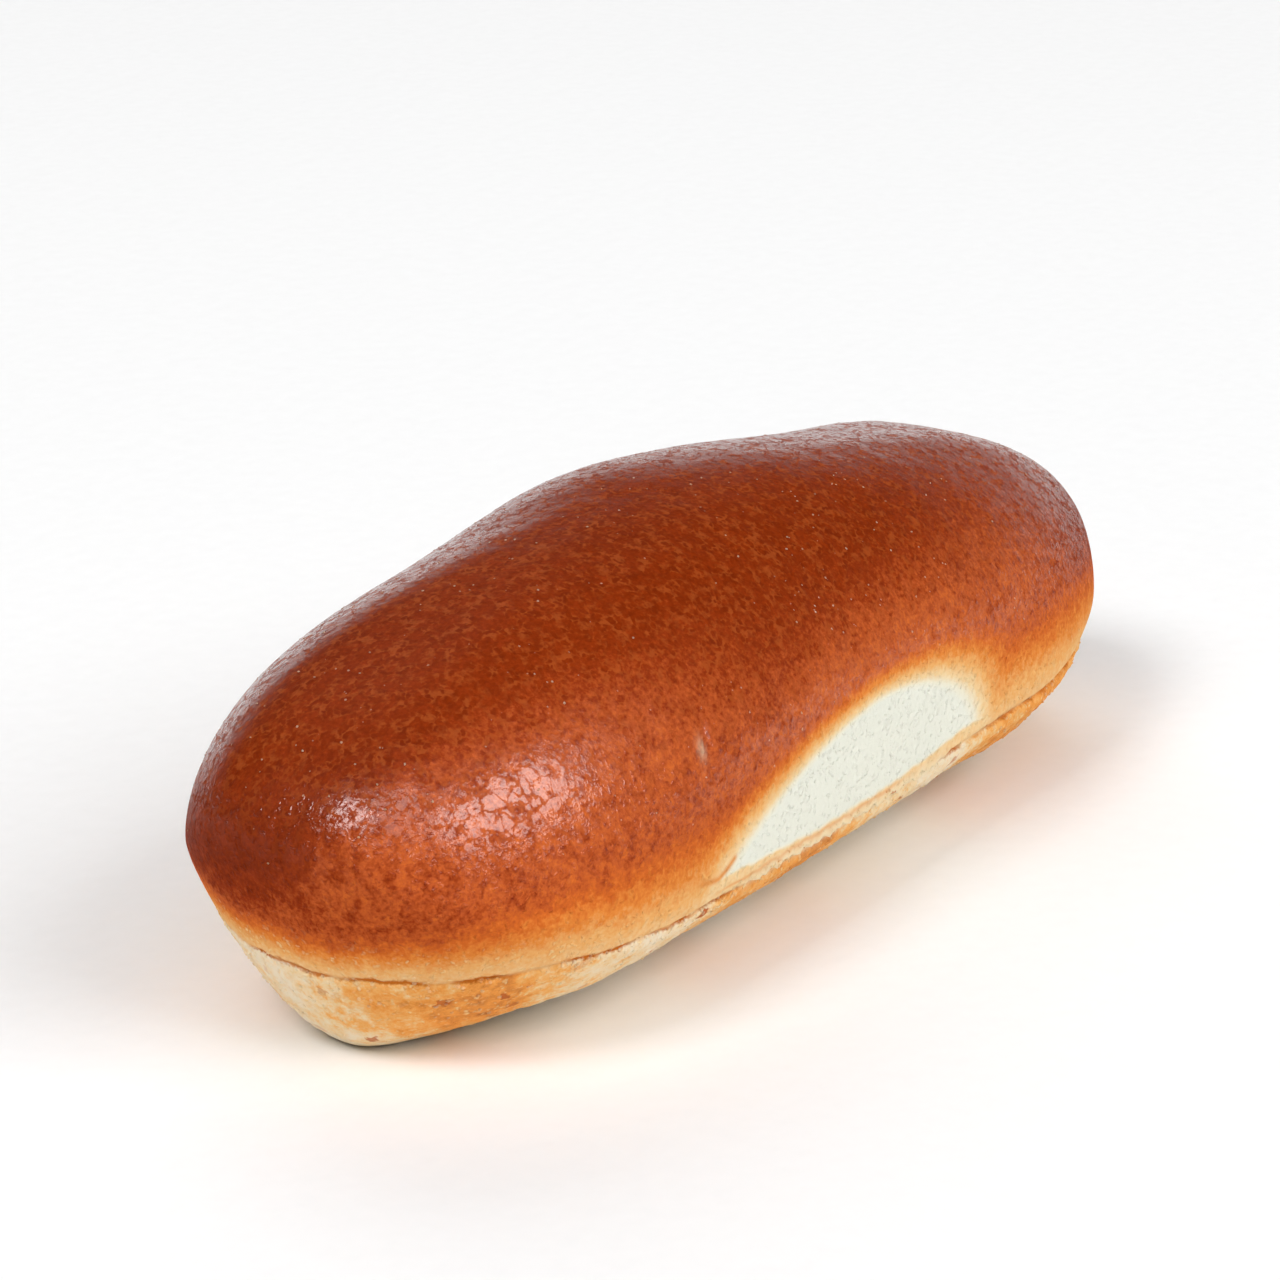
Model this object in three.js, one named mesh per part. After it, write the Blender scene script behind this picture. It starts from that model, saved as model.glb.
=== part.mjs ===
// A glazed finger roll, baked in a shallow trough tin beside its neighbours.
// One solid: a domed crown that rose over the tin's rim, a crease where the rim was,
// a base with the tin's rounded walls, and one side pressed flat by the next roll.
// Millimetres, +Z up, the roll's length along X, the pressed side towards -Y.
import * as THREE from 'three';

// Plan outline at the widest line: an oval with long straight sides and round ends
const HALF_LENGTH = 75;
const HALF_WIDTH = 30.5;
const PLAN_SQUARENESS = 2.83;
const TAPER = -0.016; // the +X end is a little narrower
const BEND = 0.8; // the middle bows towards +Y

// Crown: from the widest line up to the crest
const CREST_HEIGHT = 46.4;
const CREST_TILT = -0.063; // the crest falls towards +X
const WIDEST_AT_SIDES = 16.9;
const WIDEST_AT_ENDS = 26;
const CROWN_FULLNESS = 1.9;

// Base: rounded walls from the widest line in to the foot, the flat that it stands on
const BASE_FULLNESS = 1.53;
const FOOT_HALF_LENGTH = 62.7;
const FOOT_HALF_WIDTH = 7.6;
const FOOT_SQUARENESS = 2.6;

// Crease at the tin's rim, deeper towards +X, with the base's edge standing out under it
const CREASE_HEIGHT = 12.2;
const CREASE_DEPTH = { left: 0.4, right: 0.9 };
const CREASE_HALF_WIDTH = 0.65;
const LIP_SHARE = 0.75; // how far the edge stands out, as a share of the crease's depth
const LIP_DROP = 1.7;
const LIP_HALF_WIDTH = 1.4;

// Side pressed flat by the neighbouring roll
const PRESSED_AT = -27.2;
const PRESSED_SOFTNESS = 1.2;

// Soft swellings and hollows of the risen dough: where, how wide and how high
const SWELLINGS = {
  leftShoulder: { at: [-53, 20, 33], reach: 14, rise: 0.3 },
  leftCheek: { at: [-68, 17, 17], reach: 12, rise: -1.0 },
  leftHaunch: { at: [-47, -21, 7], reach: 10, rise: 0.8 },
  waist: { at: [-28, 18, 41], reach: 14, rise: -0.8 },
  middle: { at: [-2, 16, 44], reach: 13, rise: 1.2 },
  rightHollow: { at: [36, 10, 42], reach: 16, rise: -1.1 },
  rightCheek: { at: [68, -16, 14], reach: 9, rise: -0.7 },
  rightHaunch: { at: [40, -21, 8], reach: 10, rise: 1.2 },
};
const CORE_HALF_LENGTH = 50; // the dough swells away from a line inside the roll
const CORE_HEIGHT = 22;
const SWELLING_FADE = 6; // below this height the swellings fade out to the foot

// Facets
const CELLS_ALONG = 42;
const CELLS_ACROSS = 20;
const CROWN_CAP_STARTS = THREE.MathUtils.degToRad(48);
const BASE_WALL_ROWS = 6;
const CREASE_ROWS = [-3.4, -2.1, -1.1, -0.45, 0, 0.45, 1, 1.9]; // heights from the crease
const UNDER_CROWN_ROWS = 2;
const CROWN_SIDE_ROWS = 8;

const { clamp, lerp } = THREE.MathUtils;

// Point at unit size on a superellipse, in the direction of an angle.
function ovalDirection(angle, exponent) {
  const c = Math.cos(angle);
  const s = Math.sin(angle);
  const reach = (Math.abs(c) ** exponent + Math.abs(s) ** exponent) ** (-1 / exponent);
  return [c * reach, s * reach];
}

// The plan outline, the foot and the widest height in one direction of the plan.
function planDirection(angle) {
  const [cx, cy] = ovalDirection(angle, PLAN_SQUARENESS);
  const [fx, fy] = ovalDirection(angle, FOOT_SQUARENESS);
  const slopeX = (Math.sign(cx) * Math.abs(cx) ** (PLAN_SQUARENESS - 1)) / HALF_LENGTH;
  const slopeY = (Math.sign(cy) * Math.abs(cy) ** (PLAN_SQUARENESS - 1)) / HALF_WIDTH;
  const steep = Math.hypot(slopeX, slopeY);
  const facingEnd = (slopeX / steep) ** 2;
  return {
    x: HALF_LENGTH * cx,
    y: HALF_WIDTH * cy,
    footX: FOOT_HALF_LENGTH * fx,
    footY: FOOT_HALF_WIDTH * fy,
    outX: slopeX / steep,
    outY: slopeY / steep,
    widest: lerp(WIDEST_AT_SIDES, WIDEST_AT_ENDS, facingEnd),
  };
}

// Groove at the rim and the lip under it, as a push outwards at a height.
function creasePush(height, along) {
  const above = height - CREASE_HEIGHT;
  const depth = lerp(CREASE_DEPTH.left, CREASE_DEPTH.right, (1 + along) / 2);
  const groove = Math.exp(-((above / CREASE_HALF_WIDTH) ** 2));
  const lip = Math.exp(-(((above + LIP_DROP) / LIP_HALF_WIDTH) ** 2));
  return depth * (LIP_SHARE * lip - groove);
}

function swell(point) {
  const core = new THREE.Vector3(
    clamp(point.x, -CORE_HALF_LENGTH, CORE_HALF_LENGTH),
    0,
    CORE_HEIGHT,
  );
  const outwards = point.clone().sub(core).normalize();
  let push = 0;
  for (const { at, reach, rise } of Object.values(SWELLINGS)) {
    push += rise * Math.exp(-point.distanceToSquared(new THREE.Vector3(...at)) / reach ** 2);
  }
  point.addScaledVector(outwards, push * clamp(point.z / SWELLING_FADE, 0, 1));
}

// Surface point: angle round the plan, and lift from -90 degrees at the foot's edge,
// through 0 at the widest line, to 90 degrees at the crest.
function crustPoint(angle, lift) {
  const plan = planDirection(angle);
  const onCrown = lift >= 0;
  const fullness = onCrown ? lerp(2, CROWN_FULLNESS, Math.cos(lift) ** 2) : BASE_FULLNESS;
  const [flat, high] = ovalDirection(Math.abs(lift), fullness);
  const point = new THREE.Vector3();
  point.x = onCrown ? plan.x * flat : lerp(plan.footX, plan.x, flat);
  point.y = onCrown ? plan.y * flat : lerp(plan.footY, plan.y, flat);
  const along = point.x / HALF_LENGTH;
  const crest = CREST_HEIGHT * (1 + CREST_TILT * along);
  point.z = onCrown ? lerp(plan.widest, crest, high) : plan.widest * (1 - high);
  point.y = point.y * (1 + TAPER * along) + BEND * (1 - along ** 2);
  const push = creasePush(point.z, along);
  point.x += plan.outX * push;
  point.y += plan.outY * push;
  swell(point);
  const proud = point.y - PRESSED_AT;
  point.y = (point.y + PRESSED_AT + Math.hypot(proud, PRESSED_SOFTNESS)) / 2;
  return point;
}

// Lift at which the base wall passes a height.
function liftAtHeight(angle, height) {
  const high = 1 - height / planDirection(angle).widest;
  const flat = (1 - high ** BASE_FULLNESS) ** (1 / BASE_FULLNESS);
  return -Math.atan2(high, flat);
}

// Lifts of the rows round the side, from the foot's edge to the crown cap,
// close together at the crease.
function sideLifts(angle) {
  const creaseLifts = CREASE_ROWS.map((above) => liftAtHeight(angle, CREASE_HEIGHT + above));
  const lifts = [];
  for (let i = 0; i < BASE_WALL_ROWS; i += 1) {
    lifts.push(lerp(-Math.PI / 2, creaseLifts[0], i / BASE_WALL_ROWS));
  }
  lifts.push(...creaseLifts);
  for (let i = 1; i <= UNDER_CROWN_ROWS; i += 1) {
    lifts.push(creaseLifts.at(-1) * (1 - i / UNDER_CROWN_ROWS));
  }
  for (let i = 1; i <= CROWN_SIDE_ROWS; i += 1) {
    lifts.push((CROWN_CAP_STARTS * i) / CROWN_SIDE_ROWS);
  }
  return lifts;
}

// The caps are a grid of cells squeezed into a round, so no point has a fan of slivers.
function capCell(i, j) {
  const p = (2 * i) / CELLS_ALONG - 1;
  const q = (2 * j) / CELLS_ACROSS - 1;
  const u = p * Math.sqrt(1 - q ** 2 / 2);
  const v = q * Math.sqrt(1 - p ** 2 / 2);
  return { angle: Math.atan2(v, u), out: Math.min(1, Math.hypot(u, v)) };
}

// Grid points along the cap's edge, counter-clockwise seen from above.
function capEdge() {
  const edge = [];
  for (let i = 0; i < CELLS_ALONG; i += 1) edge.push([i, 0]);
  for (let j = 0; j < CELLS_ACROSS; j += 1) edge.push([CELLS_ALONG, j]);
  for (let i = CELLS_ALONG; i > 0; i -= 1) edge.push([i, CELLS_ACROSS]);
  for (let j = CELLS_ACROSS; j > 0; j -= 1) edge.push([0, j]);
  return edge;
}

function crownCapPoint(i, j) {
  const { angle, out } = capCell(i, j);
  return crustPoint(angle, Math.PI / 2 - out * (Math.PI / 2 - CROWN_CAP_STARTS));
}

function undersidePoint(i, j) {
  const { angle, out } = capCell(i, j);
  const rim = crustPoint(angle, -Math.PI / 2);
  return new THREE.Vector3(rim.x * out, rim.y * out, 0);
}

function rollGeometry() {
  const positions = [];
  const faces = [];
  const place = (point) => positions.push(...point.toArray()) / 3 - 1;
  const quad = (a, b, c, d) => faces.push(a, b, c, a, c, d);
  const capIndex = (grid, i, j) => grid[i * (CELLS_ACROSS + 1) + j];

  const makeCap = (pointAt, facesUp) => {
    const grid = [];
    for (let i = 0; i <= CELLS_ALONG; i += 1) {
      for (let j = 0; j <= CELLS_ACROSS; j += 1) grid.push(place(pointAt(i, j)));
    }
    for (let i = 0; i < CELLS_ALONG; i += 1) {
      for (let j = 0; j < CELLS_ACROSS; j += 1) {
        const corners = [[i, j], [i + 1, j], [i + 1, j + 1], [i, j + 1]];
        const cell = corners.map(([ci, cj]) => capIndex(grid, ci, cj));
        quad(...(facesUp ? cell : cell.reverse()));
      }
    }
    return grid;
  };
  const underside = makeCap(undersidePoint, false);
  const crown = makeCap(crownCapPoint, true);

  const columns = capEdge().map(([i, j]) => {
    const { angle } = capCell(i, j);
    const between = sideLifts(angle).slice(1, -1).map((lift) => place(crustPoint(angle, lift)));
    return [capIndex(underside, i, j), ...between, capIndex(crown, i, j)];
  });
  columns.forEach((column, k) => {
    const next = columns[(k + 1) % columns.length];
    for (let row = 0; row + 1 < column.length; row += 1) {
      quad(column[row], next[row], next[row + 1], column[row + 1]);
    }
  });

  const geometry = new THREE.BufferGeometry();
  geometry.setAttribute('position', new THREE.Float32BufferAttribute(positions, 3));
  geometry.setIndex(faces);
  return geometry;
}

// The origin is under the middle of the roll, on the surface that it rests on.
function standOnOrigin(geometry) {
  geometry.computeBoundingBox();
  const middle = geometry.boundingBox.getCenter(new THREE.Vector3());
  geometry.translate(-middle.x, -middle.y, -geometry.boundingBox.min.z);
  geometry.computeVertexNormals();
  return geometry;
}

// Egg-washed crust: red-brown with a soft gloss
const glazedCrust = new THREE.MeshStandardMaterial({
  color: 0xa8491c,
  roughness: 0.38,
  metalness: 0,
});

const roll = new THREE.Mesh(standOnOrigin(rollGeometry()), glazedCrust);
roll.name = 'roll';

const breadRoll = new THREE.Group();
breadRoll.add(roll);

export default breadRoll;
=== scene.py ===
# A glazed finger roll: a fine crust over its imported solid, with its crumbs, floor and light.
# Sizes are in millimetres, as in the part's source, and meshes are written in metres.
import math

import bpy
import numpy as np
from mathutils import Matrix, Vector


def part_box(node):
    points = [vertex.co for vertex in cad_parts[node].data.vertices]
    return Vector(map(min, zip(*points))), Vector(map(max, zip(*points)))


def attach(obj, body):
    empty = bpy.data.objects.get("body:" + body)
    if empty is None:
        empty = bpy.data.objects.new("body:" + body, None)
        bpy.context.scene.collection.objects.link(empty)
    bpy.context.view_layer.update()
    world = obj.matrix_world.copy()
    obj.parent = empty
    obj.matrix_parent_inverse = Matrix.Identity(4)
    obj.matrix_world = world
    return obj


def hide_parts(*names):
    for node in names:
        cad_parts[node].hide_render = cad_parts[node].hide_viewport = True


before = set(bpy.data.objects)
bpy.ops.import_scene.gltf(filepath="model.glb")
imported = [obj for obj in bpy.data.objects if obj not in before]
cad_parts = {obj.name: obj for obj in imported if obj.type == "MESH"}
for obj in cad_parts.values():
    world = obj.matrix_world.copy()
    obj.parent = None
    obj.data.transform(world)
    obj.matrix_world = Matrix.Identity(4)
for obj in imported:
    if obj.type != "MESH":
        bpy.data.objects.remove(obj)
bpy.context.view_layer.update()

MM = 0.001

# The form, as in the part's source: the plan outline at the widest line
HALF_LENGTH = 75.0
HALF_WIDTH = 30.5
PLAN_SQUARENESS = 2.83
TAPER = -0.016
BEND = 0.8

# Crown
CREST_HEIGHT = 46.4
CREST_TILT = -0.063
WIDEST_AT_SIDES = 16.9
WIDEST_AT_ENDS = 26.0
CROWN_FULLNESS = 1.9

# Base and the foot that it stands on
BASE_FULLNESS = 1.53
FOOT_HALF_LENGTH = 62.7
FOOT_HALF_WIDTH = 7.6
FOOT_SQUARENESS = 2.6

# Side pressed flat by the neighbouring roll
PRESSED_AT = -27.2
PRESSED_SOFTNESS = 1.2

# Swellings and hollows of the risen dough: place, reach and rise
SWELLINGS = {
    "left shoulder": ((-53, 20, 33), 14, 0.3),
    "left cheek": ((-68, 17, 17), 12, -1.0),
    "left haunch": ((-47, -21, 7), 10, 0.8),
    "waist": ((-28, 18, 41), 14, -0.8),
    "middle": ((-2, 16, 44), 13, 1.2),
    "right hollow": ((36, 10, 42), 16, -1.1),
    "right cheek": ((68, -16, 14), 9, -0.7),
    "right haunch": ((40, -21, 8), 10, 1.2),
}
CORE_HALF_LENGTH = 50.0
CORE_HEIGHT = 22.0
SWELLING_FADE = 6.0

# Crease at the tin's rim, which climbs towards the right end
CREASE_HEIGHT = 12.3
CREASE_CLIMB = 1.6
CREASE_CLIMB_FROM = 5.0
CREASE_CLIMB_TO = 60.0
CREASE_DEPTH_LEFT = 0.18
CREASE_DEPTH_RIGHT = 1.1
CREASE_HALF_WIDTH = 0.3
CREASE_SHALLOWEST = 0.65
CREASE_UNEVENNESS = 0.5
LIP_SHARE = 0.7
LIP_DROP = 1.35
LIP_HALF_WIDTH = 1.1

# Waves of the crease on its way round: how many, phase and height
CREASE_WAVES = ((5, 1.3, 0.22), (13, 0.0, 0.13), (37, 0.0, 0.07))

# Skin torn off the neighbour, hanging over the crease under the pressed patch
TORN_FROM = -24.0
TORN_TO = 12.0
TORN_FADE = 6.0
TORN_DROP = 0.9
TORN_PROUD = 0.35
TORN_UNDERCUT = 0.7
FLAP_HALF_HEIGHT = 0.5
UNDERCUT_HALF_HEIGHT = 0.8

# Pressed patch: the half oval that stayed white, and the halo round it as shares of its size
PATCH_TOP_AT = 0.0
PATCH_FOOT = 12.6
PATCH_LEFT = 31.5
PATCH_RIGHT = 21.0
PATCH_HEIGHT = 11.7
PATCH_LEFT_FULLNESS = 1.49
PATCH_RIGHT_FULLNESS = 2.05
HALO_TOP = 0.34
HALO_LEFT = 0.48
HALO_RIGHT = 0.70

# Browning, from 0 for raw white to 1 for dark: at the crease, and what the crown gains above it
BROWNING_AT_CREASE = 0.27
BROWNING_UP_THE_SIDE = 0.50
BROWNING_ON_TOP = 0.17

# Browning across the patch's halo, and over the halo widths past it
BROWNING_IN_HALO = 0.72
HALO_CURVE = 0.95
BROWNING_PAST_HALO = 0.22
PAST_HALO_BETWEEN = (1.1, 3.9)

# How far above the crease the crown turns orange-brown
BROWN_ABOVE_AT_ENDS = 6.0
BROWN_ABOVE_AT_SIDES = 13.5
FULLY_BROWN_AT = 1.03

# Heights between which it darkens, higher on the side that the next roll shaded from the heat
DARK_BETWEEN = (15.0, 24.0)
DARK_BETWEEN_ON_PRESSED_SIDE = (25.0, 40.0)
DARK_TILT = (-0.09, -0.16)
PRESSED_SIDE_BETWEEN = (4.0, -20.0)

# Height over which the egg wash thickens, as it was brushed on from above
GLAZED_FROM = 19.0
GLAZED_ABOVE = 33.5

# It stayed thin on the steep ends, up to this height
THIN_ENDS_BETWEEN = (24.0, 35.0)
THIN_ENDS_SHARE = 0.75

# Where the base is toasted gold against the tin, and where it stayed cream: place, reach, amount
TOAST_MIDDLE = 0.5
PALE_FOOT = 0.2
TOASTING = {
    "left end": ((-71, 3, 8), 9, -0.25),
    "left haunch": ((-67, -11, 9), 10, 0.30),
    "left corner": ((-58, -21, 9), 8, 0.10),
    "left side": ((-47, -26, 11), 10, -0.20),
    "under the torn skin": ((-14, -27, 9), 9, 0.42),
    "middle of the side": ((10, -27, 9), 12, -0.18),
    "right lip": ((44, -24, 12), 14, 0.30),
    "far haunch": ((-30, 28, 9), 18, 0.25),
    "far end": ((40, 28, 9), 20, 0.15),
    "right end": ((72, 0, 10), 12, 0.12),
}

# A strip of cream skin between the patch and the crease, with an orange line folded into it
STRIP_HEIGHT = 1.3
STRIP_WIDENS_LEFT = 1.2
STRIP_WIDENS_RIGHT = 0.6
STRIP_BROWNING = 0.21
STRIP_LINE_AT = 0.95

# A skin fold at the patch's lower left corner, from end to end: x and z
FOLD = ((-37.4, 15.5), (-33.8, 14.8), (-31.9, 15.5), (-30.6, 16.2))
FOLD_HALF_WIDTH = 0.35
FOLD_RISE = 0.15

# A short upright scar in the glaze, with a scrap of pale crumb beside it: x and z
SCAR = (-33.6, 30.4)
SCAR_HALF_WIDTH = 0.55
SCAR_HALF_LENGTH = 1.9
SCAR_DEPTH = 0.35
SCAR_LEAN = 0.12
SCAR_CRUMB_ASIDE = 0.95
SCAR_CRUMB_DROP = 0.7
SCAR_CRUMB_HALF_LENGTH = 1.0
SCAR_CRUMB_RISE = 0.2

# Distances that stand for being out of reach, in halo widths and in millimetres
FAR_FROM_PATCH = 9.0
FAR_FROM_FOLD = 99.0

# Fine mesh: cells of the caps, and rows round the side
CELLS_ALONG = 190
CELLS_ACROSS = 80
CROWN_CAP_STARTS = math.radians(48)
FOOT_CAP_ENDS = math.radians(-64)
FOOT_FLAT_SHARE = 0.5
BASE_WALL_ROWS = 24
CREASE_ZONE_BELOW = 2.8
CREASE_ZONE_ABOVE = 2.0
CREASE_ZONE_ROWS = 40
UNDER_CROWN_ROWS = 14
CROWN_SIDE_ROWS = 46


def lerp(a, b, t):
    """From a at share 0 to b at share 1."""
    return a + (b - a) * t


def smoothstep(low, high, value):
    """Smooth rise from 0 at low to 1 at high."""
    t = np.clip((value - low) / (high - low), 0, 1)
    return t * t * (3 - 2 * t)


def hump(value, half_width):
    """1 at zero, falling away on both sides."""
    return np.exp(-((value / half_width) ** 2))


def oval_direction(angle, exponent):
    """Point at unit size on a superellipse, in the direction of an angle."""
    c, s = np.cos(angle), np.sin(angle)
    reach = (np.abs(c) ** exponent + np.abs(s) ** exponent) ** (-1 / exponent)
    return c * reach, s * reach


def plan_direction(angle):
    """Plan outline, foot, outward direction and widest height in one direction of the plan."""
    cx, cy = oval_direction(angle, PLAN_SQUARENESS)
    fx, fy = oval_direction(angle, FOOT_SQUARENESS)
    slope_x = np.sign(cx) * np.abs(cx) ** (PLAN_SQUARENESS - 1) / HALF_LENGTH
    slope_y = np.sign(cy) * np.abs(cy) ** (PLAN_SQUARENESS - 1) / HALF_WIDTH
    steep = np.hypot(slope_x, slope_y)
    out = slope_x / steep, slope_y / steep
    widest = lerp(WIDEST_AT_SIDES, WIDEST_AT_ENDS, out[0] ** 2)
    outline = HALF_LENGTH * cx, HALF_WIDTH * cy
    foot = FOOT_HALF_LENGTH * fx, FOOT_HALF_WIDTH * fy
    return outline, foot, out, widest


def crease_height(angle):
    """Height of the crease, which wavers as the rim's edge was uneven."""
    x = plan_direction(angle)[0][0]
    climb = CREASE_CLIMB * smoothstep(CREASE_CLIMB_FROM, CREASE_CLIMB_TO, x)
    waver = sum(rise * np.sin(count * angle + phase) for count, phase, rise in CREASE_WAVES)
    return CREASE_HEIGHT + climb + waver


def ragged(along):
    """Uneven 0 to 1 along a torn edge, from waves that never line up."""
    waves = np.sin(1.7 * along) + np.sin(2.9 * along + 1) + 0.7 * np.sin(5.3 * along + 2)
    return np.clip(0.55 + 0.22 * waves, 0, 1)


def torn_amount(x, y):
    """How much torn skin hangs over the crease, from 0 to 1."""
    window = smoothstep(TORN_FROM - TORN_FADE, TORN_FROM, x)
    window = window * (1 - smoothstep(TORN_TO, TORN_TO + TORN_FADE, x))
    return np.where(y < 0, window, 0.0)


def crease_relief(x, y, z, out, above):
    """Groove at the rim, the lip under it, and the torn skin that hangs over it."""
    along = x / HALF_LENGTH
    depth = lerp(CREASE_DEPTH_LEFT, CREASE_DEPTH_RIGHT, (1 + along) / 2)
    depth = depth * (CREASE_SHALLOWEST + CREASE_UNEVENNESS * ragged(0.35 * x + 0.2 * y))
    lip = LIP_SHARE * hump(above + LIP_DROP, LIP_HALF_WIDTH)
    push = depth * (lip - hump(above, CREASE_HALF_WIDTH))
    torn = torn_amount(x, y)
    flap = torn * hump(above - FLAP_HALF_HEIGHT, FLAP_HALF_HEIGHT)
    under = hump(above + UNDERCUT_HALF_HEIGHT, UNDERCUT_HALF_HEIGHT)
    push = push + TORN_PROUD * flap - TORN_UNDERCUT * torn * under
    return x + out[0] * push, y + out[1] * push, z - TORN_DROP * flap * ragged(x)


def swell(x, y, z):
    """Moves points away from the roll's core line by the swellings near them."""
    ux = x - np.clip(x, -CORE_HALF_LENGTH, CORE_HALF_LENGTH)
    uz = z - CORE_HEIGHT
    size = np.sqrt(ux**2 + y**2 + uz**2) + 1e-9
    push = np.zeros_like(x)
    for (at_x, at_y, at_z), reach, rise in SWELLINGS.values():
        away = (x - at_x) ** 2 + (y - at_y) ** 2 + (z - at_z) ** 2
        push = push + rise * np.exp(-away / reach**2)
    push = push * np.clip(z / SWELLING_FADE, 0, 1) / size
    return x + ux * push, y + y * push, z + uz * push


def crust_points(angle, lift):
    """Surface points from the foot's edge (-90 degrees) over the widest line (0) to the crest."""
    outline, foot, out, widest = plan_direction(angle)
    on_crown = lift >= 0
    fullness = np.where(on_crown, lerp(2.0, CROWN_FULLNESS, np.cos(lift) ** 2), BASE_FULLNESS)
    flat, high = oval_direction(np.abs(lift), fullness)
    x = np.where(on_crown, outline[0] * flat, lerp(foot[0], outline[0], flat))
    y = np.where(on_crown, outline[1] * flat, lerp(foot[1], outline[1], flat))
    along = x / HALF_LENGTH
    crest = CREST_HEIGHT * (1 + CREST_TILT * along)
    z = np.where(on_crown, lerp(widest, crest, high), widest * (1 - high))
    y = y * (1 + TAPER * along) + BEND * (1 - along**2)
    above = z - crease_height(angle)
    x, y, z = crease_relief(x, y, z, out, above)
    dent, crumb = scar_marks(x, y, z)
    fold = hump(distance_to_fold(x, y, z), FOLD_HALF_WIDTH)
    push = FOLD_RISE * fold - SCAR_DEPTH * dent + SCAR_CRUMB_RISE * crumb
    x, y = x + out[0] * push, y + out[1] * push
    x, y, z = swell(x, y, z)
    y = (y + PRESSED_AT + np.hypot(y - PRESSED_AT, PRESSED_SOFTNESS)) / 2
    return np.stack([x, y, z, above, np.abs(out[0])], -1)


def lift_at_height(angle, height):
    """Lift at which the base wall passes a height."""
    high = 1 - height / plan_direction(angle)[3]
    flat = (1 - high**BASE_FULLNESS) ** (1 / BASE_FULLNESS)
    return -np.arctan2(high, flat)


def side_lifts(angle):
    """Lifts of the rows round the side, close together at the crease."""
    crease = crease_height(angle)
    low = lift_at_height(angle, crease - CREASE_ZONE_BELOW)
    lifts = [lerp(FOOT_CAP_ENDS, low, i / BASE_WALL_ROWS) for i in range(BASE_WALL_ROWS)]
    for height in np.linspace(-CREASE_ZONE_BELOW, CREASE_ZONE_ABOVE, CREASE_ZONE_ROWS):
        lifts.append(lift_at_height(angle, crease + height))
    high = lifts[-1]
    lifts += [high * (1 - i / UNDER_CROWN_ROWS) for i in range(1, UNDER_CROWN_ROWS + 1)]
    for i in range(1, CROWN_SIDE_ROWS + 1):
        lifts.append(np.full_like(angle, CROWN_CAP_STARTS * i / CROWN_SIDE_ROWS))
    return np.stack(lifts)


def cap_cells():
    """The caps' grid squeezed into a round: each point's angle and share out to the edge."""
    p, q = np.meshgrid(
        np.linspace(-1, 1, CELLS_ALONG + 1), np.linspace(-1, 1, CELLS_ACROSS + 1), indexing="ij"
    )
    u = p * np.sqrt(1 - q**2 / 2)
    v = q * np.sqrt(1 - p**2 / 2)
    return np.arctan2(v, u), np.minimum(1, np.hypot(u, v))


def foot_cap(angle, share):
    """The flat foot, and the start of the wall round it."""
    wall = np.clip((share - FOOT_FLAT_SHARE) / (1 - FOOT_FLAT_SHARE), 0, 1)
    points = crust_points(angle, lerp(-math.pi / 2, FOOT_CAP_ENDS, wall))
    flat = np.minimum(1, share / FOOT_FLAT_SHARE)[..., None]
    return points * np.where(np.arange(5) < 2, flat, 1)


def roll_surface():
    """Points of the closed crust, with height over the crease and facing, and its quads."""
    angle, share = cap_cells()
    foot = foot_cap(angle, share)
    crown = crust_points(angle, lerp(math.pi / 2, CROWN_CAP_STARTS, share))
    count = foot[..., 0].size
    grid = np.arange(count).reshape(angle.shape)
    cells = [grid[:-1, :-1], grid[1:, :-1], grid[1:, 1:], grid[:-1, 1:]]
    cells = np.stack([c.ravel() for c in cells], -1)
    edge = np.concatenate([grid[:-1, 0], grid[-1, :-1], grid[:0:-1, -1], grid[0, :0:-1]])
    edge_angle = angle.ravel()[edge]
    lifts = side_lifts(edge_angle)[1:-1]
    side = crust_points(np.broadcast_to(edge_angle, lifts.shape), lifts)
    rows = np.arange(lifts.size).reshape(lifts.shape) + 2 * count
    rows = np.concatenate([edge[None], rows, edge[None] + count])
    following = np.roll(rows, -1, 1)
    sides = [rows[:-1], following[:-1], following[1:], rows[1:]]
    sides = np.stack([s.ravel() for s in sides], -1)
    points = np.concatenate([foot.reshape(-1, 5), crown.reshape(-1, 5), side.reshape(-1, 5)])
    return points, np.concatenate([cells[:, ::-1], cells + count, sides])


def from_the_patch(x, y, z):
    """Distance from the white patch in halo widths: 0 at its edge, 1 where the halo is orange."""
    aside = x - PATCH_TOP_AT
    on_left = aside < 0
    across = np.abs(aside) / np.where(on_left, PATCH_LEFT, PATCH_RIGHT)
    upward = np.maximum(z - PATCH_FOOT, 0) / PATCH_HEIGHT
    fullness = np.where(on_left, PATCH_LEFT_FULLNESS, PATCH_RIGHT_FULLNESS)
    radius = (across**fullness + upward**fullness) ** (1 / fullness) + 1e-9
    sideways = (across / radius) ** 2
    halo = lerp(HALO_TOP, np.where(on_left, HALO_LEFT, HALO_RIGHT), np.minimum(1, 1.5 * sideways))
    return np.where(y < 0, (radius - 1) / halo, FAR_FROM_PATCH)


def distance_to_fold(x, y, z):
    """Distance in x and z from the skin fold on the pressed side."""
    nearest = np.full_like(x, FAR_FROM_FOLD)
    for (x0, z0), (x1, z1) in zip(FOLD, FOLD[1:]):
        length = (x1 - x0) ** 2 + (z1 - z0) ** 2
        share = np.clip(((x - x0) * (x1 - x0) + (z - z0) * (z1 - z0)) / length, 0, 1)
        nearest = np.minimum(nearest, np.hypot(x - lerp(x0, x1, share), z - lerp(z0, z1, share)))
    return np.where(y < 0, nearest, FAR_FROM_FOLD)


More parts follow.
